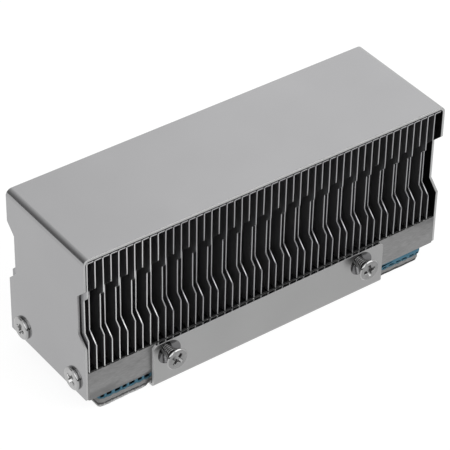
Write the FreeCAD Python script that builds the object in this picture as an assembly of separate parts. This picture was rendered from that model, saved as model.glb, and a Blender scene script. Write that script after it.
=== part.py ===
"""Heat sink for an 80 mm solid-state drive card.

A stack of thin folded fins stands on a milled base bar. One folded sheet covers the fins and makes both
end plates, which are screwed to the ends of the bar. A U-shaped clamp tray hangs under the bar on four
flat-head screws, and holds two soft pads, with an embossed film between them, against the bar's underside.
The drive card goes between the pads.

Millimetres. X runs along the card, Y from front to back and Z up. The origin is the middle of the tray's
underside.
"""
import FreeCAD, Part
import math
import os

# Cover: top and both end plates from one sheet
cover_length = 74.2
cover_sheet = 0.5
cover_inner_bend = 0.7
cover_over_fins = 0.2
stack_set_back = 0.1

# Fins, folded sharp with a narrow flat outside each fold: odd ones have shallow notches, even ones deep
fin_count = 48
fin_height = 22.9
fin_sheet = 0.25
fin_to_next = 0.12
stack_left_gap = 0.16
stack_right_gap = 0.44
notch_foot = 5.2
notch_span = 12.05
deep_notch = 2.0
shallow_notch = 1.0
shallow_inset = 1.55

# Base bar
base_width = 23.0
base_height = 5.7
base_chamfer = 0.15

# Pads and the film between them
pad_length = 69.0
pad_side_gap = 0.3
upper_pad_thickness = 1.25
lower_pad_thickness = 1.1
film_sheet = 0.08
film_wave = 0.3
film_pitch = 1.5
film_inset = 0.1

# Clamp tray
tray_length = 48.7
tray_shift = 0.25
tray_sheet = 0.6
tray_inner_bend = 0.2
tray_corner = 0.7

# Flat-head clamp screws, started in the bar's sides but not driven home
clamp_screw_from_left = 3.15
clamp_screw_from_right = 4.85
clamp_screw_drop = 2.5
clamp_head_diameter = 4.1
clamp_head_rim = 0.15
clamp_shank_diameter = 2.0
clamp_screw_length = 6.0
clamp_screw_standout = 2.45
dimple_mouth = 4.5
dimple_depth = 1.1
dimple_clearance = 0.05

# Pan-head end screws, driven home through the end plates
end_screw_spacing = 15.5
end_screw_height = 2.45
end_head_diameter = 4.35
end_head_height = 0.6
end_head_edge = 0.15
end_shank_diameter = 2.5
end_shank_length = 5.0

# What both kinds of screw share
recess_span = 2.5
recess_foot_span = 1.25
recess_width = 0.55
recess_depth = 0.9
thread_clearance = 0.05
hole_clearance = 0.15
hole_spare_depth = 0.8
cut_margin = 1.0

# Heights, from the tray's underside up
tray_floor_top = tray_sheet
film_bottom = tray_floor_top + lower_pad_thickness
film_top = film_bottom + film_wave
base_bottom = film_top + upper_pad_thickness
base_top = base_bottom + base_height
fins_top = base_top + fin_height
cover_top = fins_top + cover_over_fins + cover_sheet

# Lengths and places that follow from the sizes above
base_length = cover_length - 2 * cover_sheet
stack_length = base_length - stack_left_gap - stack_right_gap
fin_pitch = (stack_length + fin_to_next) / fin_count
fin_flange = fin_pitch - fin_to_next
first_fin = -base_length / 2 + stack_left_gap
pad_width = base_width - 2 * pad_side_gap
stack_width = base_width - 2 * stack_set_back
tray_left = tray_shift - tray_length / 2
clamp_screw_places = (tray_left + clamp_screw_from_left, tray_left + tray_length - clamp_screw_from_right)
clamp_screw_axis = base_top - clamp_screw_drop
end_screw_axis = base_bottom + end_screw_height

cos_45 = math.sqrt(0.5)


def vec(x, y, z):
    return FreeCAD.Vector(x, y, z)


def outline_face(start, steps):
    """A flat face, outlined from start by lines to points and by arcs through (middle, end) pairs."""
    edges = []
    here = start
    for step in steps:
        if isinstance(step, tuple):
            middle, end = step
            edges.append(Part.Arc(here, middle, end).toShape())
        else:
            end = step
            edges.append(Part.LineSegment(here, end).toShape())
        here = end
    edges.append(Part.LineSegment(here, start).toShape())
    return Part.Face(Part.Wire(edges))


def polygon(points):
    return Part.Face(Part.makePolygon(points + points[:1]))


def channel(place, web, flange, sheet, inner_bend, run):
    """A folded channel: web along u, both flanges along v, and place(u, v) is a point in space."""
    bend = inner_bend + sheet
    outer_mid = bend * (1 - cos_45)
    inner_mid = bend - inner_bend * cos_45
    steps = [
        place(0, bend),
        (place(outer_mid, outer_mid), place(bend, 0)),
        place(web - bend, 0),
        (place(web - outer_mid, outer_mid), place(web, bend)),
        place(web, flange),
        place(web - sheet, flange),
        place(web - sheet, bend),
        (place(web - inner_mid, inner_mid), place(web - bend, sheet)),
        place(bend, sheet),
        (place(inner_mid, inner_mid), place(sheet, bend)),
        place(sheet, flange),
    ]
    return outline_face(place(0, flange), steps).extrude(run)


def edge_notches(left, length, depth, inset):
    """Facing trapezoids with 45 degree ends, for the front and back edges of an upright sheet."""
    low = base_top + notch_foot + inset
    high = base_top + notch_foot + notch_span - inset
    cuts = []
    for side in (-1, 1):
        edge = side * stack_width / 2
        outside = edge + side * cut_margin
        inside = edge - side * depth
        corners = [
            vec(left, outside, low - cut_margin),
            vec(left, inside, low + depth),
            vec(left, inside, high - depth),
            vec(left, outside, high + cut_margin),
        ]
        cuts.append(polygon(corners).extrude(vec(length, 0, 0)))
    return cuts


def turned(points):
    """A solid turned about Z from points (radius, height) that start and end on the axis."""
    return polygon([vec(r, 0, z) for r, z in points]).revolve(vec(0, 0, 0), vec(0, 0, 1), 360)


def rod(radius, bottom, top):
    return Part.makeCylinder(radius, top - bottom, vec(0, 0, bottom))


def stand(solid, foot, direction):
    """The solid with its own Z turned to point along direction, and its origin moved to foot."""
    moved = solid.copy()
    moved.Placement = FreeCAD.Placement(foot, FreeCAD.Rotation(vec(0, 0, 1), direction))
    return moved


def cross_recess(face_height):
    """Two crossed arms that narrow downwards from the screw's face."""
    half_top = recess_span / 2
    half_foot = recess_foot_span / 2
    floor = face_height - recess_depth
    arms = []
    for turn in (0, 90):
        corners = [
            vec(-half_top, -recess_width / 2, face_height),
            vec(-half_foot, -recess_width / 2, floor),
            vec(half_foot, -recess_width / 2, floor),
            vec(half_top, -recess_width / 2, face_height),
        ]
        arm = polygon(corners).extrude(vec(0, recess_width, 0))
        arm.rotate(vec(0, 0, 0), vec(0, 0, 1), turn)
        arms.append(arm)
    return arms[0].fuse(arms[1])


def clamp_axes():
    """Where each clamp screw meets the bar's side, and the way out of the bar."""
    return [
        (vec(x, side * base_width / 2, clamp_screw_axis), vec(0, side, 0))
        for side in (-1, 1)
        for x in clamp_screw_places
    ]


def end_axes():
    """Where each end screw meets the bar's end, and the way out of the bar."""
    return [
        (vec(side * base_length / 2, across * end_screw_spacing / 2, end_screw_axis), vec(side, 0, 0))
        for side in (-1, 1)
        for across in (-1, 1)
    ]


def make_cover():
    def place(u, v):
        return vec(u - cover_length / 2, -stack_width / 2, cover_top - v)

    side = cover_top - base_bottom
    sheet = channel(place, cover_length, side, cover_sheet, cover_inner_bend, vec(0, stack_width, 0))
    cuts = edge_notches(-cover_length / 2 - cut_margin, cover_length + 2 * cut_margin, deep_notch, 0)
    hole = rod(end_shank_diameter / 2 + hole_clearance, -cut_margin, cover_sheet + cut_margin)
    cuts += [stand(hole, foot, direction) for foot, direction in end_axes()]
    return sheet.cut(cuts)


def make_fin(index):
    left = first_fin + index * fin_pitch
    web_right = left + fin_sheet
    right = left + fin_flange
    foot_top = base_top + fin_sheet
    head_bottom = fins_top - fin_sheet
    fold_flat = fin_sheet * (2 - 2 * cos_45)
    section = [
        (right, base_top),
        (left + fold_flat, base_top),
        (left, base_top + fold_flat),
        (left, fins_top - fold_flat),
        (left + fold_flat, fins_top),
        (right, fins_top),
        (right, head_bottom),
        (web_right, head_bottom),
        (web_right, foot_top),
        (right, foot_top),
    ]
    sheet = polygon([vec(x, -stack_width / 2, z) for x, z in section]).extrude(vec(0, stack_width, 0))
    if index % 2:
        cuts = edge_notches(left - cut_margin, fin_pitch + cut_margin, deep_notch, 0)
    else:
        cuts = edge_notches(left - cut_margin, fin_pitch + cut_margin, shallow_notch, shallow_inset)
    return sheet.cut(cuts)


def make_base_block():
    corner = vec(-base_length / 2, -base_width / 2, base_bottom)
    bar = Part.makeBox(base_length, base_width, base_height, corner)
    uprights = [edge for edge in bar.Edges if abs(edge.tangentAt(edge.FirstParameter).z) > cos_45]
    bar = bar.makeChamfer(base_chamfer, uprights)

    sink_mouth = dimple_mouth / 2 + dimple_clearance
    tapped_radius = clamp_shank_diameter / 2 + thread_clearance
    sink_depth = sink_mouth - tapped_radius
    driven_depth = clamp_screw_length - clamp_screw_standout - tray_sheet
    hole_depth = driven_depth + hole_spare_depth
    hole = turned([
        (0, 0),
        (sink_mouth, 0),
        (tapped_radius, -sink_depth),
        (tapped_radius, -hole_depth),
        (0, -hole_depth),
    ])
    cuts = [stand(hole, foot, direction) for foot, direction in clamp_axes()]

    end_depth = end_shank_length - cover_sheet + hole_spare_depth
    end_tapped = rod(end_shank_diameter / 2 + thread_clearance, -end_depth, cut_margin)
    cuts += [stand(end_tapped, foot, direction) for foot, direction in end_axes()]
    return bar.cut(cuts)


def make_tray():
    outer_width = base_width + 2 * tray_sheet

    def place(u, v):
        return vec(tray_left, u - outer_width / 2, v)

    tray = channel(place, outer_width, base_top, tray_sheet, tray_inner_bend, vec(tray_length, 0, 0))
    corners = []
    for end, inward in ((tray_left, 1), (tray_left + tray_length, -1)):
        triangle = [
            vec(end, -outer_width / 2 - cut_margin, base_top),
            vec(end + inward * tray_corner, -outer_width / 2 - cut_margin, base_top),
            vec(end, -outer_width / 2 - cut_margin, base_top - tray_corner),
        ]
        corners.append(polygon(triangle).extrude(vec(0, outer_width + 2 * cut_margin, 0)))

    mouth = dimple_mouth / 2
    floor = tray_sheet - dimple_depth
    hole = mouth - dimple_depth
    dimple = turned([(0, floor), (mouth + floor, floor), (mouth, 0), (mouth, tray_sheet), (0, tray_sheet)])
    cone = Part.makeCone(hole, mouth, dimple_depth, vec(0, 0, floor))
    opening = rod(mouth, 0, tray_sheet)
    axes = clamp_axes()
    tray = tray.cut(corners + [stand(opening, foot, direction) for foot, direction in axes])
    rings = [stand(dimple.cut(cone), foot, direction) for foot, direction in axes]
    return tray.fuse(rings).removeSplitter()


def make_pad(bottom, thickness):
    return Part.makeBox(pad_length, pad_width, thickness, vec(-pad_length / 2, -pad_width / 2, bottom))


def make_film():
    """A thin film pressed into waves that touch the pads in turn."""
    half_waves = 2 * int((pad_length - 2 * film_inset) / film_pitch)
    width = pad_width - 2 * film_inset
    heights = (film_bottom, film_top - film_sheet)
    lower = [
        vec((index - half_waves / 2) * film_pitch / 2, -width / 2, heights[index % 2])
        for index in range(half_waves + 1)
    ]
    upper = [point + vec(0, 0, film_sheet) for point in reversed(lower)]
    return polygon(lower + upper).extrude(vec(0, width, 0))


def make_clamp_screws():
    head = clamp_head_diameter / 2
    shank = clamp_shank_diameter / 2
    under_head = -clamp_head_rim - (head - shank)
    screw = turned([
        (0, 0),
        (head, 0),
        (head, -clamp_head_rim),
        (shank, under_head),
        (shank, -clamp_screw_length),
        (0, -clamp_screw_length),
    ])
    screw = screw.cut(cross_recess(0))
    face_out = tray_sheet + clamp_screw_standout
    return Part.makeCompound([
        stand(screw, foot + direction * face_out, direction)
        for foot, direction in clamp_axes()
    ])


def make_end_screws():
    head = end_head_diameter / 2
    shank = end_shank_diameter / 2
    screw = turned([
        (0, end_head_height),
        (head - end_head_edge, end_head_height),
        (head, end_head_height - end_head_edge),
        (head, 0),
        (shank, 0),
        (shank, -end_shank_length),
        (0, -end_shank_length),
    ])
    screw = screw.cut(cross_recess(end_head_height))
    return Part.makeCompound([
        stand(screw, foot + direction * cover_sheet, direction)
        for foot, direction in end_axes()
    ])


def make_all():
    nodes = {
        "cover": make_cover(),
        "base_block": make_base_block(),
        "clamp_tray": make_tray(),
        "upper_pad": make_pad(film_top, upper_pad_thickness),
        "release_film": make_film(),
        "lower_pad": make_pad(tray_floor_top, lower_pad_thickness),
        "clamp_screws": make_clamp_screws(),
        "end_screws": make_end_screws(),
    }
    for index in range(fin_count):
        nodes["fin_%02d" % (index + 1)] = make_fin(index)
    return nodes


os.makedirs("parts", exist_ok=True)
for name, shape in make_all().items():
    shape.exportStep("parts/%s.step" % name)
    state = "valid" if shape.isValid() else "NOT VALID"
    print(name, state, len(shape.Solids), "solids", round(shape.Volume, 2), "mm3")
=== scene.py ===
# %% [markdown]
# # A finned heat sink for a drive card
#
# A stack of folded metal fins stands on a milled bar. One folded sheet covers the fins and makes both end
# plates. A folded tray hangs under the bar on four screws and holds two soft pads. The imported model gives
# the large sizes, so this script only makes the surfaces and finishes that the eye sees.

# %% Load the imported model
import math

import bmesh
import bpy
import numpy as np
from mathutils import Matrix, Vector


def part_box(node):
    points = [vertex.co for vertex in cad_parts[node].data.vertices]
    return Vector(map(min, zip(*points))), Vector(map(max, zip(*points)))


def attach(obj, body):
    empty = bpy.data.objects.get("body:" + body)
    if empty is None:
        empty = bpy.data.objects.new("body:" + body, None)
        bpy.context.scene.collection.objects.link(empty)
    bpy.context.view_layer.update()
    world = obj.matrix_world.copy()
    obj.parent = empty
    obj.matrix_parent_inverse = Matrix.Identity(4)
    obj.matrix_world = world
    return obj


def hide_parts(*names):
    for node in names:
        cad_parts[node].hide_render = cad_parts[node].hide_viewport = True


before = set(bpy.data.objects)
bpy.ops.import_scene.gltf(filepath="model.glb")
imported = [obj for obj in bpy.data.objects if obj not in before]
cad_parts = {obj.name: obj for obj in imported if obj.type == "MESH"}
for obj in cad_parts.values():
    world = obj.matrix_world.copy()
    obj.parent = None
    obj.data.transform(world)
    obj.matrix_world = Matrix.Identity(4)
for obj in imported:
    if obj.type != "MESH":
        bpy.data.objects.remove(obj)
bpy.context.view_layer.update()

MM = 0.001

# %% [markdown]
# ## Sizes
#
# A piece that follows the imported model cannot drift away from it. So the large sizes are read from the boxes
# of its nodes, and only the small ones that a box cannot give, such as a sheet's thickness, are written here.

# %% Sizes in millimetres
def box_mm(node):
    """The lowest and highest corners of a node, in millimetres."""
    low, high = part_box(node)
    return np.array(low) / MM, np.array(high) / MM


cover_low, cover_high = box_mm("cover")
bar_low, bar_high = box_mm("base_block")
tray_low, tray_high = box_mm("clamp_tray")
clamp_low, clamp_high = box_mm("clamp_screws")
end_low, end_high = box_mm("end_screws")

cover_sheet = 0.5
cover_fold = 1.2
fin_sheet = 0.22
fin_fold = 0.3
tray_sheet = 0.6
tray_fold = 0.8
tray_corner = 0.7

bar_sink = 0.15
notch_foot = 5.2
notch_span = 12.05
deep_notch = 2.0
shallow_notch = 1.0
shallow_inset = 1.55

clamp_head = 4.1
clamp_shank = 2.0
clamp_rim = 0.15
clamp_length = 6.0
clamp_pitch = 0.4
dimple_mouth = 4.5
dimple_depth = 1.1
end_head = 4.35
end_head_height = 0.6
end_shank = 2.5
end_length = 5.0
end_pitch = 0.45

clamp_axis_z = (clamp_low[2] + clamp_high[2]) / 2
clamp_xs = (clamp_low[0] + clamp_head / 2, clamp_high[0] - clamp_head / 2)
end_axis_z = (end_low[2] + end_high[2]) / 2
end_axis_y = end_high[1] - end_head / 2
print("clamp screws at x", np.round(clamp_xs, 2), "and z", round(clamp_axis_z, 2))
print("end screws at y", round(end_axis_y, 2), "and z", round(end_axis_z, 2))

# %% [markdown]
# ## From arrays to a mesh
#
# Every shape below is worked out as whole arrays. A grid of points numbered row by row needs only the corner
# numbers of its quads. The mesh's normals are then recalculated, because a closed surface can tell outside
# from inside by itself.

# %% Mesh helpers
def grid_quads(rows, columns, closed=True):
    """Corner numbers of the quads of a grid whose columns run round a closed ring, or stop at its ends."""
    row = np.arange(rows - 1)[:, None]
    column = np.arange(columns if closed else columns - 1)[None, :]
    beside = (column + 1) % columns
    corners = [row * columns + column, row * columns + beside,
               (row + 1) * columns + beside, (row + 1) * columns + column]
    return np.stack(corners, axis=-1)


def add_object(name, data):
    """A new object in the scene for a mesh, a lamp or a camera."""
    thing = bpy.data.objects.new(name, data)
    bpy.context.scene.collection.objects.link(thing)
    return thing


def mark_points(mesh, mark, values):
    """Write a number on each point of a mesh, under a name that its finish reads."""
    mesh.attributes.new(mark, "FLOAT", "POINT").data.foreach_set("value", np.ravel(values).astype(np.float32))


def build(name, points, faces, marks=None, weighted=True):
    """A mesh object from points (n, 3) in millimetres, faces, and marks: named numbers, one for each point."""
    mesh = bpy.data.meshes.new(name)
    mesh.from_pydata((points * MM).tolist(), [], faces)
    for mark, values in (marks or {}).items():
        mark_points(mesh, mark, values)
    work = bmesh.new()
    work.from_mesh(mesh)
    bmesh.ops.recalc_face_normals(work, faces=work.faces)
    work.to_mesh(mesh)
    work.free()
    mesh.shade_smooth()
    piece = add_object(name, mesh)
    if weighted:
        piece.modifiers.new("flat faces stay flat", "WEIGHTED_NORMAL").weight = 100
    return piece


def dress(piece, material, slot, *nodes):
    """Give a piece its finish and the nodes that it stands for, and let it ride with the model. slot is not used."""
    piece.data.materials.clear()
    piece.data.materials.append(material)
    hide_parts(*nodes)
    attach(piece, "root")


# %% [markdown]
# ## Small tools for finishes
#
# A finish is a tree of shader nodes. One function that adds a node with its settings and links keeps each tree
# short. Colours are written as the screen shows them and turned to linear light once.

# %% Finish helpers
def linear(colour):
    """An sRGB hex colour as linear light: c / 12.92 below 0.04045, else ((c + 0.055) / 1.055) to the 2.4."""
    parts = np.array([int(colour[i:i + 2], 16) for i in (1, 3, 5)]) / 255
    parts = np.where(parts <= 0.04045, parts / 12.92, ((parts + 0.055) / 1.055) ** 2.4)
    return (*parts.tolist(), 1.0)


def add(tree, kind, sockets=None, **settings):
    """Add a node with its settings and inputs: values, outputs, or nodes, each for its first output in use."""
    shader = tree.nodes.new(kind)
    for name, value in settings.items():
        setattr(shader, name, value)
    for name, value in (sockets or {}).items():
        if isinstance(value, bpy.types.Node):
            value = next(output for output in value.outputs if output.enabled)
        if isinstance(value, bpy.types.NodeSocket):
            tree.links.new(value, shader.inputs[name])
        else:
            shader.inputs[name].default_value = value
    return shader


def start_finish(name):
    """A new material with its output, and the place of each point on the model, in metres."""
    material = bpy.data.materials.new(name)
    material.use_nodes = True
    tree = material.node_tree
    tree.nodes.clear()
    output = add(tree, "ShaderNodeOutputMaterial")
    place = add(tree, "ShaderNodeTexCoord").outputs["Object"]
    return material, tree, output, place


# Most of a noise value lies in this range.
MOST = {"From Min": 0.25, "From Max": 0.75}


def speckle(tree, place, size_mm, detail=2.0, stretch=(1, 1, 1)):
    """Noise with features of a size, by scale = 1 / size, drawn out along an axis where its stretch is below 1."""
    moved = add(tree, "ShaderNodeMapping", {"Vector": place, "Scale": stretch})
    return add(tree, "ShaderNodeTexNoise", {"Vector": moved, "Scale": 1 / (size_mm * MM), "Detail": detail})


def mark_of(tree, mark):
    """The number that mark_points wrote, and how far it is below zero."""
    value = add(tree, "ShaderNodeAttribute", attribute_name=mark).outputs["Fac"]
    return value, add(tree, "ShaderNodeMath", {0: value, 1: -1.0}, operation="MULTIPLY", use_clamp=True)


def coats(tree, ground, *layers):
    """A colour under coats of others, each a share that it covers and its own colour."""
    colour = linear(ground)
    for share, cover in layers:
        colour = add(tree, "ShaderNodeMix", {0: share, 6: colour, 7: linear(cover)}, data_type="RGBA")
    return colour


def end_finish(tree, output, relief, sockets):
    """Close a tree with one principled shader. relief is a height, its depth in millimetres and its strength."""
    height, depth_mm, strength = relief
    normal = add(tree, "ShaderNodeBump", {"Height": height, "Distance": depth_mm * MM, "Strength": strength})
    shader = add(tree, "ShaderNodeBsdfPrincipled", {**sockets, "Normal": normal})
    tree.links.new(shader.outputs["BSDF"], output.inputs["Surface"])


# %% [markdown]
# ## Finish: satin plated sheet, with bright cut edges
#
# The cover, the tray and the fins are punched from plated sheet. Rolling and plating leave a very fine satin
# grain on the faces, while the punched edges are bare, bright metal. Each sheet piece carries a mark on its
# points that is 1 on a cut edge and -1 where shade is painted: in the tray's dimples, on the cover's inner face
# and on the fins' feet, so one finish can hold all three. A small negative mark is already as smooth as a place
# with painted shade, but still nearly as light as the face. The grain of the real sheet is about 0.02 mm, too
# fine to show, so it is drawn at 0.1 mm.

# %% Satin sheet
GRAIN_MM = 0.1
CLOUD_MM = 14
CUT_ROUGHNESS = 0.4
SHADE_MARK = -1.0
GLOSSY = -0.3


def satin_sheet(name, face, cloud, cut, darkening, roughness, darkening_roughness, metal, cut_metal):
    """A face of two tones in soft clouds, its cut edges, and painted shade where the mark is negative. metal is the
    share of bare metal.
    """
    material, tree, output, place = start_finish(name)
    edge, painted_shade = mark_of(tree, "cut_edge")
    clouds = add(tree, "ShaderNodeMapRange", {"Value": speckle(tree, place, CLOUD_MM, 3.0), **MOST})
    # Painted shade: where the mark is negative, the darkening colour is blended in.
    colour = coats(tree, face, (clouds, cloud), (edge, cut), (painted_shade, darkening))
    flat = add(tree, "ShaderNodeMapRange", {"Value": edge, "To Min": roughness, "To Max": CUT_ROUGHNESS})
    rough = add(tree, "ShaderNodeMapRange",
                {"Value": painted_shade, "From Max": -GLOSSY, "To Min": flat, "To Max": darkening_roughness})
    bare = add(tree, "ShaderNodeMapRange", {"Value": edge, "To Min": metal, "To Max": cut_metal})
    end_finish(tree, output, (speckle(tree, place, GRAIN_MM), 0.004, 0.2),
               {"Base Color": colour, "Metallic": bare, "Roughness": rough})
    return material


# The darkening colours are painted shade: on the cover's inner face, in the tray's dimples and on the fins' feet.
cover_finish = satin_sheet("satin nickel plated cover sheet", "#a0a0a1", "#9c9c9d", cut="#afafaf", darkening="#606060",
                           roughness=0.15, darkening_roughness=0.3, metal=1.0, cut_metal=1.0)
tray_finish = satin_sheet("satin blasted tray sheet", "#9f9f9f", "#999999", cut="#e8e8e8", darkening="#6c6c6d",
                          roughness=0.34, darkening_roughness=0.2, metal=1.0, cut_metal=0.2)
fin_finish = satin_sheet("plated fin sheet", "#a0a0a2", "#8c8c8e", cut="#cecece", darkening="#343435",
                         roughness=0.28, darkening_roughness=0.28, metal=0.88, cut_metal=0.88)

# %% [markdown]
# ## Shape: a folded sheet
#
# The cover, the tray and each fin are the same idea: a flat strip folded twice. Boxes joined at the corners
# would have no fold radius and no cut edges. Here a rounded rectangle, the section of the sheet, is carried
# along the folded path. Its two long edges may move in and out on the way, which cuts the notches.

# %% Folded path
EDGE_STEPS = 4
FOLD_STEPS = 10


def stations_of(legs, radius, edge, extra=()):
    """Lengths along the path where a section is placed: both eased ends, the folds in small steps, and extra."""
    arc = radius * math.pi / 2
    total = sum(legs) + 2 * arc
    ends = edge * (1 - np.cos(np.linspace(0, math.pi / 2, EDGE_STEPS)))
    folds = [start + np.linspace(0, arc, FOLD_STEPS + 1) for start in (legs[0], legs[0] + arc + legs[1])]
    return np.unique(np.round(np.concatenate([ends, total - ends, *folds, extra]), 6))


def folded(stations, legs, radius, turn, start, heading):
    """Places along a strip folded twice, and the way out of its outer side, in the plane of the folds.

    The path is three straight legs joined by two quarter circles. From one station to the next the heading
    changes evenly, so the step between them is a chord: its length times sin(h) / h, where h is half the
    change, along the middle heading. The place is the running sum of those steps.
    """
    arc = radius * math.pi / 2
    breaks = np.cumsum([0, legs[0], arc, legs[1], arc, legs[2]])
    way = heading + turn * math.pi / 2 * np.array([0, 0, 1, 1, 2, 2])
    way = np.interp(stations, breaks, way)
    middle = (way[1:] + way[:-1]) / 2
    chord = np.diff(stations) * np.sinc((way[1:] - way[:-1]) / (2 * math.pi))
    steps = chord[:, None] * np.stack([np.cos(middle), np.sin(middle)], axis=1)
    places = np.array(start) + np.concatenate([[(0, 0)], np.cumsum(steps, axis=0)])
    outward = way - turn * math.pi / 2
    return places, np.stack([np.cos(outward), np.sin(outward)], axis=1)


# %% Section carried along the path
def section_of(thickness, edge, roll, columns):
    """The ring of a sheet's section: share from the low to the high cut edge, inset from it, depth, and mark.

    Each of the four corners is a quarter circle: inset = r (1 - sin a), depth = r (1 - cos a). The radius r is
    the edge on the inner side, and the roll on the outer side, where the punch drew the sheet in. The mark is 1
    on the part of each corner next to the cut edge.
    """
    angle = np.linspace(0, math.pi / 2, EDGE_STEPS)
    inset = 1 - np.sin(angle)
    sink = 1 - np.cos(angle)
    bare = (angle > math.pi / 5).astype(float)
    columns = np.array(columns, dtype=float)
    face = np.zeros(len(columns))
    one = np.ones(EDGE_STEPS)
    parts = [
        (one, -roll * inset, -roll * sink, bare),
        (one, -edge * inset[::-1], -thickness + edge * sink[::-1], bare[::-1]),
        (columns[::-1], face, face - thickness, face),
        (0 * one, edge * inset, -thickness + edge * sink, bare),
        (0 * one, roll * inset[::-1], -roll * sink[::-1], bare[::-1]),
        (columns, face, face, face),
    ]
    return [np.concatenate(values) for values in zip(*parts)]


def sheet_metal(stations, places, outward, axes, low, high, thickness, edge, roll, columns=(), end_mark=1.0):
    """Points (stations, ring, 3) and cut-edge marks of a folded sheet with eased edges all round.

    axes are the two axes of the folds' plane, and low and high its cut edges along the third axis. Near each
    end the section shrinks by edge (1 - sqrt(1 - (1 - d / edge) squared)) at a distance d from the end. The
    last of those sections are the sheet's cut ends, and get end_mark.
    """
    share, inset, depth, bare = section_of(thickness, edge, roll, columns)
    distance = np.minimum(stations, stations[-1] - stations)
    near = np.clip(1 - distance / edge, 0, 1)
    shrink = (edge * (1 - np.sqrt(1 - near ** 2)))[:, None]
    side = np.where(share == 0, 1, np.where(share == 1, -1, 0))
    across = low[:, None] * (1 - share) + high[:, None] * share + inset + shrink * side
    deep = -thickness / 2 + (depth + thickness / 2) * (1 - 2 * shrink / thickness)
    points = np.zeros((len(stations), len(share), 3))
    for index, axis in enumerate(axes):
        points[..., axis] = places[:, index, None] + outward[:, index, None] * deep
    points[..., 3 - sum(axes)] = across
    ends = (near > 0.4)[:, None]
    return points, np.where(ends, end_mark, bare)


def end_faces(rows, ring):
    """The flat faces that close a strip at its first and its last section."""
    return [list(range(ring)), list(range((rows - 1) * ring, rows * ring))]


def build_strip(name, points, marks=None, weighted=True):
    """A strip from points (sections, ring, 3): the quads round it, and one flat face at each end."""
    rows, ring = points.shape[:2]
    faces = grid_quads(rows, ring).reshape(-1, 4).tolist() + end_faces(rows, ring)
    return build(name, points.reshape(-1, 3), faces, marks, weighted)


# %% [markdown]
# ## Notches
#
# The cover's end plates and every fin have a shallow trapezoid cut out of their front and back edges. One
# rule gives the edge at any height, so plates and fins line up. Plates and even fins are cut deep, and odd
# fins shallow and shorter, which gives the stack its zigzag look.

# %% Notch rule
fins_foot = box_mm("fin_01")[0][2]
half_width = cover_high[1]


def notch_corners(depth, inset):
    """The heights of a notch's four corners, from the bottom up. Its ends slope at 45 degrees."""
    low = fins_foot + notch_foot + inset
    high = fins_foot + notch_foot + notch_span - inset
    return np.array([low, low + depth, high - depth, high])


def half_width_at(height, depth, inset):
    """Half the sheet's width: full outside the notch, and less by its depth between its inner corners."""
    return half_width - np.interp(height, notch_corners(depth, inset), [0, depth, depth, 0])


# %% [markdown]
# ## The cover
#
# The cover is one sheet, folded down at both ends. Its top is the largest and plainest face, so its fold
# radius and its bright cut edge are what make it read as sheet metal. Light hardly reaches its inner face, so
# that face and the corners beside it get painted shade.

# %% Cover
EASE = 0.06
COVER_ROLL = 0.1


def make_cover():
    """The cover. Its legs are the left end plate, the top and the right end plate."""
    height = cover_high[2] - cover_low[2]
    legs = (height - cover_fold, cover_high[0] - cover_low[0] - 2 * cover_fold, height - cover_fold)
    total = sum(legs) + math.pi * cover_fold
    rise = notch_corners(deep_notch, 0) - cover_low[2]
    stations = stations_of(legs, cover_fold, EASE, np.concatenate([rise, total - rise]))
    places, outward = folded(stations, legs, cover_fold, -1, (cover_low[0], cover_low[2]), math.pi / 2)
    half = half_width_at(places[:, 1], deep_notch, 0)
    points, bare = sheet_metal(stations, places, outward, (0, 2), -half, half, cover_sheet, EASE, COVER_ROLL)
    # Painted shade on the inner face and its corners.
    bare[:, EDGE_STEPS + 2:2 * EDGE_STEPS + 2] = SHADE_MARK
    dress(build_strip("folded_cover", points, {"cut_edge": bare}), cover_finish, "satin_cover", "cover")
    print("cover:", len(stations), "sections of", points.shape[1], "points")


make_cover()

# %% [markdown]
# ## The fins
#
# Each fin is a strip folded at its foot and its head, so that neighbours space each other. Real fins are thin
# enough to wave a little, so each one gets a gentle bow of a few hundredths of a millimetre from a seeded draw.
# The cut edges carry painted light: full on the first nine fins, less on the next two, and barely any from the
# twelfth on. The head flange's cut edge is made darker than the web's, and the foot flange gets painted shade.

# %% Fins
FIN_EASE = 0.05
FIN_WAVE = 0.022
LARGEST_WAVE = 1.6 * FIN_WAVE
FOOT_FADE = 0.2
HEAD_FADE = 0.3
FIRST_FIN_PAINTED_DIM = 11
draw = np.random.default_rng(48)
fin_names = sorted(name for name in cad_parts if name.startswith("fin_"))


def make_fin(name, depth, inset, painted_edge_light):
    """A fin, moved along X by three waves b sin(n pi share), where share is the height from 0 to 1."""
    low, high = box_mm(name)
    flange = high[0] - low[0] - fin_fold
    legs = (flange, high[2] - low[2] - 2 * fin_fold, flange)
    turn_length = fin_fold * math.pi / 2
    web_start = flange + turn_length
    rise = web_start - fin_fold + (notch_corners(depth, inset) - fins_foot)
    web = web_start + np.linspace(0, legs[1], 9)
    stations = stations_of(legs, fin_fold, FIN_EASE, np.concatenate([rise, web]))
    places, outward = folded(stations, legs, fin_fold, -1, (high[0], low[2]), math.pi)
    share = (places[:, 1] - low[2]) / (high[2] - low[2])
    bow = draw.normal(0, FIN_WAVE, 3)
    waves = [np.sin(math.pi * count * share) * size for count, size in enumerate(bow, start=1)]
    places[:, 0] += np.clip(sum(waves), -LARGEST_WAVE, LARGEST_WAVE)
    half = half_width_at(places[:, 1], depth, inset)
    points, bare = sheet_metal(stations, places, outward, (0, 2), -half, half, fin_sheet, FIN_EASE, FIN_EASE)
    # The foot flange gets painted shade. The head flange's cut edge is made 60 percent less bright.
    foot = np.clip((web_start - FOOT_FADE - stations) / FOOT_FADE, 0, 1)[:, None]
    head = np.clip((stations - web_start - legs[1]) / HEAD_FADE, 0, 1)[:, None]
    bare = painted_edge_light * bare * (1 - foot) * (1 - 0.6 * head) + SHADE_MARK * foot
    piece = build_strip("folded_" + name, points, {"cut_edge": bare})
    dress(piece, fin_finish, "fin_sheet", name)
    return len(piece.data.polygons)


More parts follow.
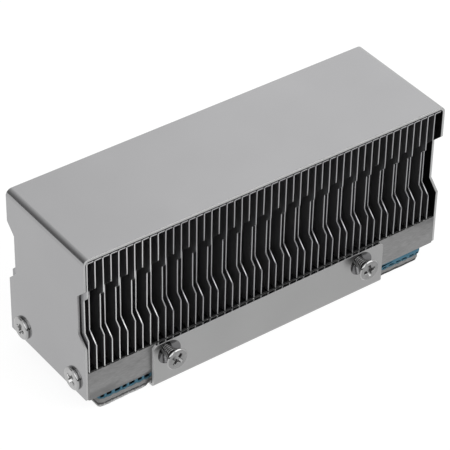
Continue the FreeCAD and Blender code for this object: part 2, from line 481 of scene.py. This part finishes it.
# painted_edge_light is painted light on the cut edges: full on the first nine fins, fading over the next two.
for index, fin_name in enumerate(fin_names):
    notch = (deep_notch, 0) if index % 2 else (shallow_notch, shallow_inset)
    face_count = make_fin(fin_name, *notch, painted_edge_light=float(np.clip((FIRST_FIN_PAINTED_DIM - index) / 3, 0.1, 1)))
print(len(fin_names), "fins of", face_count, "faces")

# %% [markdown]
# ## The clamp tray
#
# The tray is a strip folded into a U, with four dimples pressed in for its screws. A hole in a grid is left
# by taking one quad out and filling round it: four flat faces join the square opening to the dimple's mouth,
# and the dimple itself is a profile turned about the screw's axis. The top edges of the flanges are smooth
# enough to mirror the fins.

# %% Clamp tray
DIMPLE_STEPS = 48
DIMPLE_MARGIN = 0.13
window = dimple_mouth / 2 + DIMPLE_MARGIN


def dimple_profile():
    """Points (radius, depth) from the tray's outer face, down the cone, round its lip and back up behind."""
    mouth = dimple_mouth / 2
    hole = mouth - dimple_depth
    ease = 0.05
    return np.array([
        (mouth + 2 * ease, 0), (mouth + ease, -0.3 * ease), (mouth, -ease),
        (hole + ease, ease - dimple_depth), (hole, ease / 2 - dimple_depth), (hole, -dimple_depth),
        (mouth - dimple_depth + tray_sheet, -dimple_depth), (mouth, -tray_sheet),
    ])


def dimple_points(centre_x, centre_z, side):
    """The profile turned about an axis along Y. The first spoke is at 45 degrees, in line with a corner."""
    angle = math.pi / 4 + np.linspace(0, 2 * math.pi, DIMPLE_STEPS, endpoint=False)
    radius, depth = dimple_profile().T
    face = tray_high[1]
    points = np.zeros((len(radius), DIMPLE_STEPS, 3))
    points[..., 0] = centre_x + radius[:, None] * np.cos(angle)
    points[..., 1] = side * (face + depth[:, None])
    points[..., 2] = centre_z + radius[:, None] * np.sin(angle)
    return points


def fill_round(points, block, ring, centre_x, centre_z):
    """Four flat faces round a hole, from an opening's border to a ring that starts near its first corner.

    block are the point numbers down the opening's two sides. Sorted by angle they run round the hole.
    """
    border = block.T.ravel()
    away = points[border][:, [0, 2]] - (centre_x, centre_z)
    border = border[np.argsort(np.mod(np.arctan2(away[:, 1], away[:, 0]), 2 * math.pi))]
    corners = np.flatnonzero(np.isin(border, block[[0, -1]]))
    border = np.roll(border, -corners[0])
    corners = np.append(corners - corners[0], len(border))
    border = np.append(border, border[0])
    quarter = DIMPLE_STEPS // 4
    faces = []
    for turn in range(4):
        side = border[corners[turn]:corners[turn + 1] + 1]
        arc = ring + np.arange(turn * quarter, (turn + 1) * quarter + 1) % DIMPLE_STEPS
        faces.append(side.tolist() + arc[::-1].tolist())
    return faces


def make_tray():
    """The tray. Its legs are the front flange, the floor and the back flange."""
    height = tray_high[2] - tray_low[2]
    legs = (height - tray_fold, tray_high[1] - tray_low[1] - 2 * tray_fold, height - tray_fold)
    total = sum(legs) + math.pi * tray_fold
    drop = tray_high[2] - clamp_axis_z
    rows = np.array([drop - window, drop + window])
    corner = np.array([tray_corner])
    stations = stations_of(legs, tray_fold, EASE, np.concatenate([rows, total - rows, corner, total - corner]))
    places, outward = folded(stations, legs, tray_fold, 1, (tray_low[1], tray_high[2]), -math.pi / 2)
    cut = np.clip(tray_corner - np.minimum(stations, total - stations), 0, None)
    length = tray_high[0] - tray_low[0]
    columns = [(x + edge - tray_low[0]) / length for x in clamp_xs for edge in (-window, window)]
    low, high = tray_low[0] + cut, tray_high[0] - cut
    points, bare = sheet_metal(stations, places, outward, (1, 2), low, high, tray_sheet, EASE, EASE, columns, GLOSSY)
    # Each hole leaves out a quad in the outer face and one in the inner face.
    rings = points.shape[1]
    quads = grid_quads(len(stations), rings)
    keep = np.ones(quads.shape[:2], dtype=bool)
    inner_first = 2 * EDGE_STEPS
    outer_first = rings - len(columns)
    openings = []
    for side, ends in ((-1, rows), (1, total - rows[::-1])):
        top, bottom = np.searchsorted(stations, ends - 1e-4)
        for hole in (0, 1):
            for column in (outer_first + 2 * hole, inner_first + 2 * (1 - hole)):
                keep[top:bottom, column] = False
                block = np.arange(top, bottom + 1)[:, None] * rings + np.array([column, (column + 1) % rings])
                openings.append((side, clamp_xs[hole], block, column >= outer_first))
    faces = quads[keep].tolist() + end_faces(len(stations), rings)
    # Its dimple is added once, and joined to both openings.
    points = points.reshape(-1, 3)
    bare = bare.ravel()
    first = {}
    for side, x, block, is_outer in openings:
        if (side, x) not in first:
            first[side, x] = len(points)
            dimple = dimple_points(x, clamp_axis_z, side)
            faces += (grid_quads(*dimple.shape[:2]).reshape(-1, 4) + len(points)).tolist()
            points = np.concatenate([points, dimple.reshape(-1, 3)])
            # Painted shade over the dimple, but not on its two rims.
            mark = np.full(dimple.shape[:2], SHADE_MARK)
            mark[[0, -1]] = 0
            bare = np.concatenate([bare, mark.ravel()])
        ring = first[side, x] + (0 if is_outer else (len(dimple_profile()) - 1) * DIMPLE_STEPS)
        faces += fill_round(points, block, ring, x, clamp_axis_z)
    dress(build("folded_tray", points, faces, {"cut_edge": bare}), tray_finish, "satin_tray", "clamp_tray")
    print("tray:", len(openings) // 2, "dimples,", len(faces), "faces")


make_tray()

# %% [markdown]
# ## The base bar
#
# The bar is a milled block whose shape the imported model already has, with its corner chamfers and its tapped
# holes. Only its edges are too sharp to catch light. So a copy of its mesh is merged, its flat triangles are
# dissolved, and a Bevel modifier eases the edges by the tenth of a millimetre that a milled bar has. Its
# underside is drawn a little lower, where the bar's front meets the pad.

# %% Milled bar finish
def milled_bar():
    """Short cutter marks run along the bar, about 0.05 mm apart on the real one and drawn at 0.12 mm."""
    material, tree, output, place = start_finish("fine milled aluminium bar")
    marks = speckle(tree, place, 0.12, 3.0, (0.11, 1, 1))
    stains = speckle(tree, place, 1.3, 4.0, (0.35, 1, 1))
    dark = add(tree, "ShaderNodeMapRange", {"Value": stains, **MOST})
    cuts = add(tree, "ShaderNodeMapRange", {"Value": marks, "To Max": 0.5, **MOST})
    rough = add(tree, "ShaderNodeMapRange", {"Value": stains, "To Min": 0.28, "To Max": 0.4, **MOST})
    tone = coats(tree, "#6c6c6c", (dark, "#7e7e7e"), (cuts, "#a0a0a0"))
    end_finish(tree, output, (marks, 0.012, 0.6), {"Base Color": tone, "Metallic": 1.0, "Roughness": rough})
    return material


# %% Base bar
def make_bar():
    """The bar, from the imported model's own mesh."""
    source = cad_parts["base_block"]
    work = bmesh.new()
    work.from_mesh(source.data)
    bmesh.ops.remove_doubles(work, verts=work.verts, dist=1e-6)
    bmesh.ops.dissolve_limit(work, angle_limit=math.radians(1), verts=work.verts, edges=work.edges)
    for corner in work.verts:
        if corner.co.z < (bar_low[2] + 0.01) * MM:
            corner.co.z -= bar_sink * MM
    mesh = bpy.data.meshes.new("milled_bar")
    work.to_mesh(mesh)
    work.free()
    mesh.shade_smooth()
    piece = add_object("milled_bar", mesh)
    ease = piece.modifiers.new("eased edges", "BEVEL")
    ease.width = 0.08 * MM
    ease.segments = 2
    ease.limit_method = "ANGLE"
    ease.angle_limit = math.radians(30)
    ease.harden_normals = True
    dress(piece, milled_bar(), "milled_bar", "base_block")
    print("bar:", len(mesh.polygons), "faces before its edges are eased")


make_bar()

# %% [markdown]
# ## The screws
#
# A screw is a turned shape with two things that turning cannot give: the cross recess and the thread. Both
# are small changes to the same grid of points. On the head's face the recess sinks a point by a depth that
# depends on its place in the cross, and on the shank the thread moves a point's radius by a triangle wave
# that climbs one pitch a turn.

# %% Screw shape
SPOKES = 160
FACE_RINGS = 56
ROWS_A_TURN = 6
THREAD_DEPTH = 0.61
TIP_CHAMFER = 0.3


def cross_recess(x, y, span, width, depth):
    """How deep the cross recess is at a point: two arms with steep walls, deepest in the middle.

    Along an arm the floor rises by 40 percent towards its end, where a wall at about 60 degrees closes it, and
    the arm narrows by a quarter. Across, the wall climbs within 0.16 mm.
    """
    def arm(along, across):
        reach = np.abs(along) / (span / 2)
        floor = np.minimum(1 - 0.4 * reach, 2.4 * (1 - reach))
        narrowing = width / 2 * (1 - 0.25 * reach)
        wall = np.clip((narrowing - np.abs(across)) / 0.16 + 0.5, 0, 1)
        return np.clip(floor, 0, 1) * wall * wall * (3 - 2 * wall)

    return depth * np.maximum(arm(x, y), arm(y, x))


def screw_points(profile, shank, length, pitch, recess):
    """Points (rows, spokes, 3) of a screw along Z, from the middle of its face to its tip.

    profile are (radius, height) points of the head, from the rim of the recessed face down to the shank. The
    thread's radius is the shank's, less 0.61 of the pitch times a triangle wave of height / pitch - turn. The
    same wave comes back as a mark that is 1 in the groove, where it paints shade. On the neck the mark is 0.5,
    which makes it darker, and on the head's polished rim it is -1.
    """
    face = np.linspace(0, profile[0][0], FACE_RINGS)
    rows = int(ROWS_A_TURN * (length + profile[-1][1]) / pitch)
    thread = np.linspace(profile[-1][1], TIP_CHAMFER - length, rows)
    radius = np.concatenate([face, [r for r, z in profile[1:]], np.full(rows, shank), [shank - TIP_CHAMFER, 0]])
    height = np.concatenate([face * 0 + profile[0][1], [z for r, z in profile[1:]], thread, [-length, -length]])
    spoke = np.linspace(0, 2 * math.pi, SPOKES, endpoint=False)
    radius, height = (np.repeat(values[:, None], SPOKES, axis=1) for values in (radius, height))
    first = FACE_RINGS + len(profile) - 1
    neck = first - 2
    cut = slice(first, first + rows)
    phase = np.mod(height[cut] / pitch - spoke / (2 * math.pi), 1)
    run_in = np.clip((profile[-1][1] - height[cut]) / pitch, 0, 1)
    wave = np.abs(2 * phase - 1) * run_in
    radius[cut] -= THREAD_DEPTH * pitch * wave
    groove = np.zeros_like(radius)
    # Painted shade: 1 in the thread's groove. The run-in and the neck are made darker.
    groove[cut] = np.clip(1.5 * wave, 0, 1) + 0.5 * (1 - run_in)
    groove[neck:first] = 0.5
    groove[FACE_RINGS:neck] = -1
    x, y = radius * np.cos(spoke), radius * np.sin(spoke)
    height[:FACE_RINGS] -= cross_recess(x[:FACE_RINGS], y[:FACE_RINGS], *recess)
    return np.stack([x, y, height], axis=-1), groove


def build_screw(name, points, groove, foot, direction, spin, material, slot, node):
    """Stand a screw's own Z along a direction, plus or minus X or Y, turned by spin about itself."""
    turned = points @ np.array(Matrix.Rotation(spin, 3, "Z")).T
    axis = int(np.argmax(np.abs(direction)))
    out = turned[..., 2:] * np.array(direction)
    side = np.zeros_like(turned)
    side[..., 1 - axis] = turned[..., 0]
    side[..., 2] = turned[..., 1]
    placed = (out + side + np.array(foot)).reshape(-1, 3)
    rows, spokes = points.shape[:2]
    placed = np.concatenate([placed[:1], placed[spokes:-spokes], placed[-1:]])
    groove = np.concatenate([groove[0, :1], groove.ravel()[spokes:-spokes], groove[-1, :1]])
    faces = (grid_quads(rows - 2, spokes).reshape(-1, 4) + 1).tolist()
    ring = np.arange(spokes)
    last = len(placed) - 1
    for tip, start in ((0, 1), (last, last - spokes)):
        faces += np.stack([0 * ring + tip, start + ring, start + (ring + 1) % spokes], axis=1).tolist()
    dress(build(name, placed, faces, {"groove": groove}, weighted=False), material, slot, node)


# %% Screw finishes
RIM_ROUGHNESS = 0.04


def plated_steel(name, light, dark, roughness):
    """Nickel plated steel: bright and fine grained, with dulled spots, painted shade in the thread's groove, a darker
    neck, and a polished rim.
    """
    material, tree, output, place = start_finish(name)
    spots = speckle(tree, place, 0.9, 3.0)
    dull = add(tree, "ShaderNodeMapRange", {"Value": spots, **MOST})
    groove, rim = mark_of(tree, "groove")
    # 1c1c1c is painted shade in the thread's groove, and half of it darkens the neck.
    tone = coats(tree, light, (dull, dark), (groove, "#1c1c1c"), (rim, "#a6a6a6"))
    rough = add(tree, "ShaderNodeMapRange", {"Value": spots, "To Min": roughness, "To Max": roughness + 0.1, **MOST})
    rough = add(tree, "ShaderNodeMapRange", {"Value": rim, "To Min": rough, "To Max": RIM_ROUGHNESS})
    end_finish(tree, output, (speckle(tree, place, 0.07), 0.003, 0.3),
               {"Base Color": tone, "Metallic": 1.0, "Roughness": rough})
    return material


clamp_screw_finish = plated_steel("nickel plated clamp screws", "#949494", "#808080", 0.12)
end_screw_finish = plated_steel("bright nickel end screws", "#b4b4b4", "#a2a2a2", 0.07)

# %% Clamp screws
head, shank = clamp_head / 2, clamp_shank / 2
clamp_profile = [
    (head - 0.18, 0), (head - 0.15, -0.02), (head - 0.02, -0.18), (head, -0.22),
    (head - 0.05, -clamp_rim - 0.13),
    (shank + 0.05, shank - head - clamp_rim + 0.05), (shank, shank - head - clamp_rim - 0.05),
]
clamp_points, clamp_groove = screw_points(clamp_profile, shank, clamp_length, clamp_pitch, (2.5, 0.72, 0.8))
spins = iter(np.radians((50, 8, 62, 35)))
for side, side_name in ((-1, "front"), (1, "back")):
    for x, end_name in zip(clamp_xs, ("left", "right")):
        foot = (x, side * clamp_high[1], clamp_axis_z)
        build_screw(f"clamp_screw_{side_name}_{end_name}", clamp_points, clamp_groove, foot, (0, side, 0),
                    next(spins), clamp_screw_finish, "steel_screws", "clamp_screws")
print("clamp screws of", clamp_groove.size, "points")

# %% End screws
pan_round = 0.32
pan, shank = end_head / 2 - 0.06, end_shank / 2
end_profile = [
    (pan - pan_round * (1 - math.sin(a)), end_head_height - pan_round * (1 - math.cos(a)))
    for a in np.linspace(0, math.pi / 2, 6)
]
end_profile += [(pan, 0.06), (pan - 0.05, 0), (shank + 0.05, 0), (shank, -0.05)]
end_points, end_groove = screw_points(end_profile, shank, end_length, end_pitch, (2.3, 0.74, 0.8))
spins = iter(np.radians((30, 12, 50, 75)))
for side, side_name in ((-1, "left"), (1, "right")):
    for y, end_name in ((-end_axis_y, "front"), (end_axis_y, "back")):
        foot = (side * (end_high[0] - end_head_height), y, end_axis_z)
        build_screw(f"end_screw_{side_name}_{end_name}", end_points, end_groove, foot, (side, 0, 0),
                    next(spins), end_screw_finish, "plated_screws", "end_screws")
print("end screws of", end_groove.size, "points")

# %% [markdown]
# ## The pads and the film
#
# The pads are strips cut from soft silicone sheet. Pressed by the tray, their sides bulge a little and wander,
# so each is a rounded outline carried upwards, pushed outwards most at half height. Outside the tray nothing
# presses on them: the grey pad sags, its liner frays, and on the left it swells up against the blue one. The
# blue pad's side also has a row of short pockets, where the embossed film holds it off. Shade is painted in
# those pockets, under the bar just right of the tray, and where the tray shades the pads, and the grey pad is
# made darker in a band at its foot.

# %% Pad finishes
def silicone(name, light, dark, speck, pocket):
    """Filled silicone: matt and slightly chalky, with fine filler specks of about 0.1 mm. Where the pocket mark is
    positive, shade is painted, and on the grey pad a darker band at its foot; where it is negative, the frayed liner
    is light.
    """
    material, tree, output, place = start_finish(name)
    stains = add(tree, "ShaderNodeMapRange", {"Value": speckle(tree, place, 3.0, 3.0), **MOST})
    fine = speckle(tree, place, 0.12)
    specks = add(tree, "ShaderNodeMapRange", {"Value": fine, "To Max": 0.35, **MOST})
    darkening, frayed = mark_of(tree, "pocket")
    tone = coats(tree, light, (stains, dark), (specks, speck), (darkening, pocket), (frayed, "#e4e4e4"))
    sheen = add(tree, "ShaderNodeMapRange", {"Value": darkening, "To Min": 0.5, "To Max": 0.0})
    end_finish(tree, output, (fine, 0.02, 0.5), {"Base Color": tone, "Roughness": 0.62, "Specular IOR Level": sheen})
    return material


# %% Pads
PAD_ROWS = 25
PAD_CORNER = 0.8
PAD_INSET = 0.19
PAD_BULGE = 0.12
POCKET_RAMP = 0.05
pocket_pitch = 1.5


def pad_outline(low, high, spacing):
    """Points and outward ways round a rectangle with quarter-circle corners, at about even spacing."""
    middle = (low[:2] + high[:2]) / 2
    reach = (high[:2] - low[:2]) / 2 - PAD_CORNER
    angle = np.linspace(0, math.pi / 2, 7)
    spots, ways = [], []
    for turn, (sx, sy) in enumerate(((1, 1), (-1, 1), (-1, -1), (1, -1))):
        a = angle + turn * math.pi / 2
        way = np.stack([np.cos(a), np.sin(a)], axis=1)
        spots.append(middle + reach * (sx, sy) + PAD_CORNER * way)
        ways.append(way)
        run = 2 * reach[turn % 2]
        share = np.linspace(0, 1, int(run / spacing) + 1)[1:-1, None]
        along = np.array([(-1, 0), (0, -1), (1, 0), (0, 1)][turn])
        spots.append(spots[-1][-1] + share * run * along)
        ways.append(np.repeat(way[-1:], len(share), axis=0))
    return np.concatenate(spots), np.concatenate(ways)


def smooth(value):
    """0 to 1 with level ends: 3 v squared - 2 v cubed."""
    value = np.clip(value, 0, 1)
    return value * value * (3 - 2 * value)


def left_of_tray(x):
    """1 at the left end and 0 at the right one, changing where the tray hides it."""
    return smooth((10 - x) / 20)


def outside_tray(x):
    """0 up to 0.1 mm past the tray's ends, and 1 from 0.9 mm on."""
    return smooth((np.maximum(tray_low[0] - x, x - tray_high[0]) - 0.1) / 0.8)


def make_pad(name, node, material, slot, phase, foot, head, pockets, pocket_depth, trim):
    """A pad set in from its box, whose side bulges as 1 - v squared, v from -1 at its foot to 1 at its head."""
    low, high = box_mm(node)
    high[0] -= trim
    spots, ways = pad_outline(low, high, 0.16)
    v = np.sin(np.linspace(-math.pi / 2, math.pi / 2, PAD_ROWS))[:, None]
    wander = 0.028 * np.sin(spots[:, 0] * 0.9 + phase) + 0.02 * np.sin(spots[:, 0] * 2.3 + 2 * phase)
    bottom = low[2] + foot(spots[:, 0])
    top = high[2] + head(spots[:, 0])
    height = (bottom + top) / 2 + v * (top - bottom) / 2
    # darkening: painted shade in pockets and shadows, the grey pad's darker foot band, and -1 for the light liner.
    darkening = pockets(spots, height, bottom, top)
    out = -PAD_INSET - wander + PAD_BULGE * (1 - v ** 2) - pocket_depth * darkening
    points = np.zeros((PAD_ROWS, len(spots), 3))
    points[..., :2] = spots + ways * out[..., None]
    points[..., 2] = height
    dress(build_strip(name, points, {"pocket": darkening}), material, slot, node)
    print(name, "outline of", len(spots), "points")


def film_pockets(spots, height, bottom, top):
    """1 inside the pockets: left of the tray they lie just under the bar, and right of it at the pad's foot.

    Just right of the tray a slot under the bar, which narrows and ends after 4.5 mm, is 1 too. Each place marked 1
    gets painted shade: in the pockets, and as shadow in the slot under the bar.
    """
    x = spots[:, 0]
    left = left_of_tray(x)
    middle = left * (top - 0.75) + (1 - left) * (bottom + 0.24)
    phase = np.mod(x / pocket_pitch + 0.08 * np.sin(1.7 * x), 1)
    along = np.clip((0.35 - np.abs(phase - 0.5)) / POCKET_RAMP, 0, 1)
    tall = np.clip((0.2 + 0.14 * left - np.abs(height - middle)) / POCKET_RAMP, 0, 1)
    fade = np.clip(1 - (x - tray_high[0]) / 4.5, 0, 1) * (x > tray_high[0])
    slot = np.clip((0.3 * fade - np.abs(height - top + 0.75)) / POCKET_RAMP, 0, 1)
    return np.maximum(np.maximum(along * tall, slot), beside_tray(x))


def beside_tray(x):
    """0.75 just left of the tray, where the pads are in its shadow."""
    return 0.75 * np.clip(1 - (tray_low[0] - x - 0.7) / 0.5, 0, 1) * (x < tray_low[0])


def dark_foot_band(spots, height, bottom, top):
    """1 in a dark band near the foot. On the left the frayed liner under it is light, which the mark -1 says."""
    x = spots[:, 0]
    left = left_of_tray(x)
    above = height - bottom
    edge = 0.65 + 0.2 * left + 0.05 * np.sin(2.7 * x) + 0.04 * np.sin(6.1 * x + 1)
    fray = left * (0.42 + 0.06 * np.sin(9 * x) + 0.05 * np.sin(14.3 * x))
    band = np.clip((edge - above) / 0.12, 0, 1) * np.clip((above - fray) / 0.06 + 1 - left, 0, 1)
    light = left * np.clip((fray - above) / 0.06, 0, 1) * (0.55 + 0.45 * np.sin(5.3 * x) * np.sin(12.1 * x))
    return np.maximum(band, beside_tray(x)) - light * (beside_tray(x) == 0)


# The last colour of each pad is painted shade, and on the grey pad also its darker foot band.
make_pad("upper_pad_blue", "upper_pad", silicone("blue silicone pad", "#3c768f", "#32647a", "#568ca2", "#05080a"),
         "blue_pad", phase=0.4, foot=lambda x: 0.3 * left_of_tray(x) - 0.5, head=lambda x: 0 * x - bar_sink,
         pockets=film_pockets, pocket_depth=0.15, trim=0)
make_pad("lower_pad_grey", "lower_pad", silicone("grey silicone pad", "#909090", "#7c7c7c", "#a6a6a6", "#5a5a5a"),
         "grey_pad", phase=2.1, foot=lambda x: -0.48 * outside_tray(x), head=lambda x: 0.3 * left_of_tray(x) - 0.22,
         pockets=dark_foot_band, pocket_depth=0.12, trim=0.35)


# %% Film
def embossed_film():
    """Thin blue release film: smooth and slightly glossy, a little paler in patches."""
    material, tree, output, place = start_finish("blue embossed film")
    pale = add(tree, "ShaderNodeMapRange", {"Value": speckle(tree, place, 0.8), **MOST})
    tone = coats(tree, "#4f8296", (pale, "#7fa9b6"))
    end_finish(tree, output, (speckle(tree, place, 0.2), 0.01, 0.3), {"Base Color": tone, "Roughness": 0.35})
    return material


def make_film():
    """A sheet whose height is a cosine wave along X, of 12 points a wave, with both sides and its rim."""
    low, high = box_mm("release_film")
    film = 0.14
    count = 46 * 12 + 1
    x = np.linspace(low[0] + 0.2, high[0] - 0.2, count)
    wave = (high[2] - low[2] - film) / 2 * np.cos(2 * math.pi * x / pocket_pitch)
    height = (low[2] + high[2] - film) / 2 + wave + 0.3 * left_of_tray(x) - 0.36
    y = np.array([low[1], high[1], high[1], low[1]])
    lift = np.array([0, 0, film, film])
    points = np.zeros((count, 4, 3))
    points[..., 0] = x[:, None]
    points[..., 1] = y
    points[..., 2] = height[:, None] + lift
    dress(build_strip("embossed_film", points), embossed_film(), "blue_film", "release_film")
    print("film waves:", round((high[0] - low[0]) / pocket_pitch, 1))


make_film()

# %% [markdown]
# ## The solder seam
#
# The stack is soldered to the bar, and a thin, lumpy line of solder shows along the fins' feet, front and
# back. It is a round bead, half sunk in the feet, whose radius wanders along the bar. Its near black colour is
# painted shade in the gap at the feet, with spots of bright solder.

# %% Solder seam
def solder_and_gap_shade():
    """Solder: bright where it flowed smooth, and near black elsewhere, which is painted shade in the gap at the fins'
    feet.
    """
    material, tree, output, place = start_finish("tin solder and painted gap shade")
    solder_patches = speckle(tree, place, 0.5, 3.0)
    bright = add(tree, "ShaderNodeMapRange", {"Value": solder_patches, "From Min": 0.58, "From Max": 0.66})
    rough = add(tree, "ShaderNodeMapRange", {"Value": solder_patches, "To Min": 0.2, "To Max": 0.6, **MOST})
    tone = coats(tree, "#222221", (bright, "#d0d0ce"))
    end_finish(tree, output, (speckle(tree, place, 0.15), 0.02, 0.6),
               {"Base Color": tone, "Metallic": 1.0, "Roughness": rough})
    return material


def make_seam(name, side, material):
    """A bead along X whose section is a small circle, of radius 0.03 to 0.1 mm, at the fins' feet."""
    count, ring = 900, 8
    x = np.linspace(bar_low[0] + 0.5, bar_high[0] - 0.5, count)
    noise = np.convolve(draw.normal(0, 1, count + 8), np.ones(9) / 9, mode="valid")
    radius = np.clip(0.05 + 0.04 * noise, 0.03, 0.1)
    angle = np.linspace(0, 2 * math.pi, ring, endpoint=False)
    points = np.zeros((count, ring, 3))
    points[..., 0] = x[:, None]
    points[..., 1] = side * (half_width + 0.01) + radius[:, None] * np.cos(angle)
    points[..., 2] = fins_foot + 0.02 + radius[:, None] * np.sin(angle)
    piece = build_strip(name, points, weighted=False)
    piece.data.materials.append(material)
    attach(piece, "root")


solder = solder_and_gap_shade()
make_seam("solder_seam_front", -1, solder)
make_seam("solder_seam_back", 1, solder)

# %% [markdown]
# ## Stage and light
#
# Metal shows what stands round it, so the stage matters as much as the finish. The floor and the world are
# white to the camera and in reflections, and one soft key light stands up in front on the right. Cards that
# only reflections see do the rest. A graded one behind on the left darkens the fold between the cover's top and
# its end plate, two dark ones draw the front edges, and a bright panel by the camera puts the sparkle on the
# screws.

# %% World
AMBIENT = 0.55
FLOOR_GLOW = 1.2
FLOOR_GLOW_SHARE = 0.75
middle_height = 0.015

world = bpy.data.worlds.new("studio")
bpy.context.scene.world = world
world.use_nodes = True
tree = world.node_tree
tree.nodes.clear()


def seen(tree):
    """1 for rays that show the background: camera rays, reflections and rays through clear things."""
    path = add(tree, "ShaderNodeLightPath").outputs
    some = add(tree, "ShaderNodeMath", {0: path["Is Camera Ray"], 1: path["Is Glossy Ray"]}, operation="ADD")
    return add(tree, "ShaderNodeMath", {0: some, 1: path["Is Transmission Ray"]}, operation="ADD", use_clamp=True)


soft = add(tree, "ShaderNodeBackground", {"Color": (1, 1, 1, 1), "Strength": AMBIENT})
white = add(tree, "ShaderNodeBackground", {"Color": (1, 1, 1, 1), "Strength": 1.0})
mixed = add(tree, "ShaderNodeMixShader", {0: seen(tree), 1: soft, 2: white})
add(tree, "ShaderNodeOutputWorld", {"Surface": mixed})

# %% Floor
def disc(name, radius_m, count=96):
    """A flat round face: its points are at radius (cos a, sin a)."""
    angle = np.linspace(0, 2 * math.pi, count, endpoint=False)
    rim = np.stack([np.cos(angle), np.sin(angle), 0 * angle], axis=1) * radius_m
    mesh = bpy.data.meshes.new(name)
    mesh.from_pydata(rim.tolist(), [], [list(range(count))])
    flat = add_object(name, mesh)
    return flat


floor = disc("floor", 1.2)
material, tree, output, place = start_finish("white paper floor")
paper = add(tree, "ShaderNodeBsdfDiffuse", {"Color": (0.8, 0.8, 0.8, 1)})
glow = add(tree, "ShaderNodeEmission", {"Color": (1, 1, 1, 1), "Strength": FLOOR_GLOW})
share = add(tree, "ShaderNodeMath", {0: seen(tree), 1: FLOOR_GLOW_SHARE}, operation="MULTIPLY")
mixed = add(tree, "ShaderNodeMixShader", {0: share, 1: paper, 2: glow})
tree.links.new(mixed.outputs[0], output.inputs["Surface"])
floor.data.materials.append(material)


# %% Lights and cards
def towards(azimuth, elevation):
    """The way out to a lamp or the camera. Azimuth 0 is straight in front, and it grows towards the right."""
    a, e = math.radians(azimuth), math.radians(elevation)
    return np.array([math.sin(a) * math.cos(e), -math.cos(a) * math.cos(e), math.sin(e)])


def aim(thing, place, target, roll=0.0):
    """Put a thing at a place with its -Z towards the target and its Y upwards, then roll it about its Z."""
    back = np.array(place) - np.array(target)
    back = back / np.linalg.norm(back)
    right = np.cross((0, 0, 1), back)
    right = right / np.linalg.norm(right)
    up = np.cross(back, right)
    turned = np.stack([math.cos(roll) * right + math.sin(roll) * up,
                       math.cos(roll) * up - math.sin(roll) * right, back], axis=1)
    thing.matrix_world = Matrix([[*row, value] for row, value in zip(turned, place)] + [[0, 0, 0, 1]])


def soft_box(name, azimuth, elevation, distance, size, level):
    """A square lamp. A white face turned to it reaches the level, by power = level pi^2 distance^2."""
    lamp = bpy.data.lights.new(name, "AREA")
    lamp.shape = "SQUARE"
    lamp.size = size
    lamp.energy = level * math.pi ** 2 * distance ** 2
    aim(add_object(name, lamp), towards(azimuth, elevation) * distance, (0, 0, middle_height))


def card(name, azimuths, elevations, distance, levels):
    """A curved card that only reflections see, as bright as levels say from its first azimuth to its last."""
    columns = 40
    azimuth = np.radians(np.linspace(*azimuths, columns))
    height = np.tan(np.radians(elevations)) * distance + middle_height
    points = np.zeros((2, columns, 3))
    points[..., 0] = distance * np.sin(azimuth)
    points[..., 1] = -distance * np.cos(azimuth)
    points[..., 2] = height[:, None]
    mesh = bpy.data.meshes.new(name)
    mesh.from_pydata(points.reshape(-1, 3).tolist(), [], grid_quads(2, columns, closed=False).reshape(-1, 4).tolist())
    level = np.interp(np.linspace(0, 1, columns), np.linspace(0, 1, len(levels)), levels)
    mark_points(mesh, "level", np.tile(level, 2))
    flat = add_object(name, mesh)
    material, tree, output, place = start_finish(name)
    tone = add(tree, "ShaderNodeAttribute", attribute_name="level").outputs["Fac"]
    dim = add(tree, "ShaderNodeEmission", {"Color": (1, 1, 1, 1), "Strength": tone})
    tree.links.new(dim.outputs[0], output.inputs["Surface"])
    mesh.materials.append(material)
    for rays in ("camera", "diffuse", "shadow", "transmission"):
        setattr(flat, "visible_" + rays, False)


soft_box("key light", 37, 39, 0.6, 0.5, 0.35)
card("graded card behind left", (-118, -235), (9, 60), 0.5, (0.13, 0.23, 0.46, 0.66, 0.82, 1.05, 1.32, 1.32))
card("dark card high on the right", (56, 122), (50, 72), 0.4, (0.1, 0.1))
card("dark horizon in front", (-80, 62), (-1, 13), 0.5, (0.12, 0.12))
card("panel by the camera", (-84, -20), (15, 61), 0.47, (2.3, 2.3, 2.3, 0.8) * 2 + (2.3, 2.3, 2.3))

# %% [markdown]
# ## Camera
#
# The camera's place comes from a fit to the object's corners: a long lens, looking down at 38 degrees from
# the front left, rolled by one degree. Its position is the target plus its distance along the way out.

# %% Camera
image_pixels = 450
focal_pixels = 2431.06
sensor_mm = 36
azimuth, elevation, roll = -36.827, 38.085, 1.223
target_mm = np.array((-1.574, -0.884, 17.25))
distance_mm = 413.05

camera = bpy.data.cameras.new("camera")
camera.sensor_width = sensor_mm
camera.sensor_fit = "HORIZONTAL"
camera.lens = focal_pixels / image_pixels * sensor_mm
camera.clip_start = 0.01
holder = add_object("camera", camera)
spot = (target_mm + towards(azimuth, elevation) * distance_mm) * MM
aim(holder, spot, target_mm * MM, math.radians(roll))
bpy.context.scene.camera = holder
bpy.context.scene.view_settings.view_transform = "Standard"
print("lens", round(camera.lens, 1), "mm, camera at", np.round(spot, 3))
